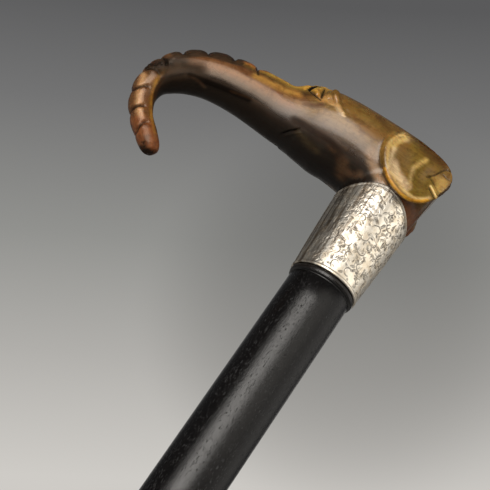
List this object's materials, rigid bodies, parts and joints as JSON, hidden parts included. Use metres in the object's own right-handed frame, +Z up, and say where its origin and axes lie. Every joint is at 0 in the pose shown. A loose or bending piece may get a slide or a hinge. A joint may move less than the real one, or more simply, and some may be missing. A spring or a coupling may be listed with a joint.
{
  "type": "walking cane",
  "caption": "Straight tapered walking cane with a carved elephant-head crook handle, a flared metal sleeve collar and a metal ferrule.",
  "frame": {"origin": "centre of the flat lower face of the ferrule tip, on the floor", "axes": "+Z up along the shaft; the trunk of the handle points to -X; the pictured side faces -Y"},
  "size_m": [0.1094, 0.0378, 0.9001],
  "materials": {
    "horn": "polished dark horn, golden where thin",
    "silver": "engraved silver, lightly tarnished",
    "pitch": "matt, hidden",
    "ebonised_wood": "black-brown, satin",
    "iron": "dull grey rod, hidden",
    "brass": "aged brass",
    "steel": "worn steel"
  },
  "bodies": {
    "root": {"handle": "horn", "joint_stud": "iron", "collar": "silver", "collar_packing": "pitch", "shaft": "ebonised_wood", "ferrule": "brass", "ferrule_tip": "steel", "ferrule_pin_front": "brass", "ferrule_pin_back": "brass"}
  },
  "joints": []
}
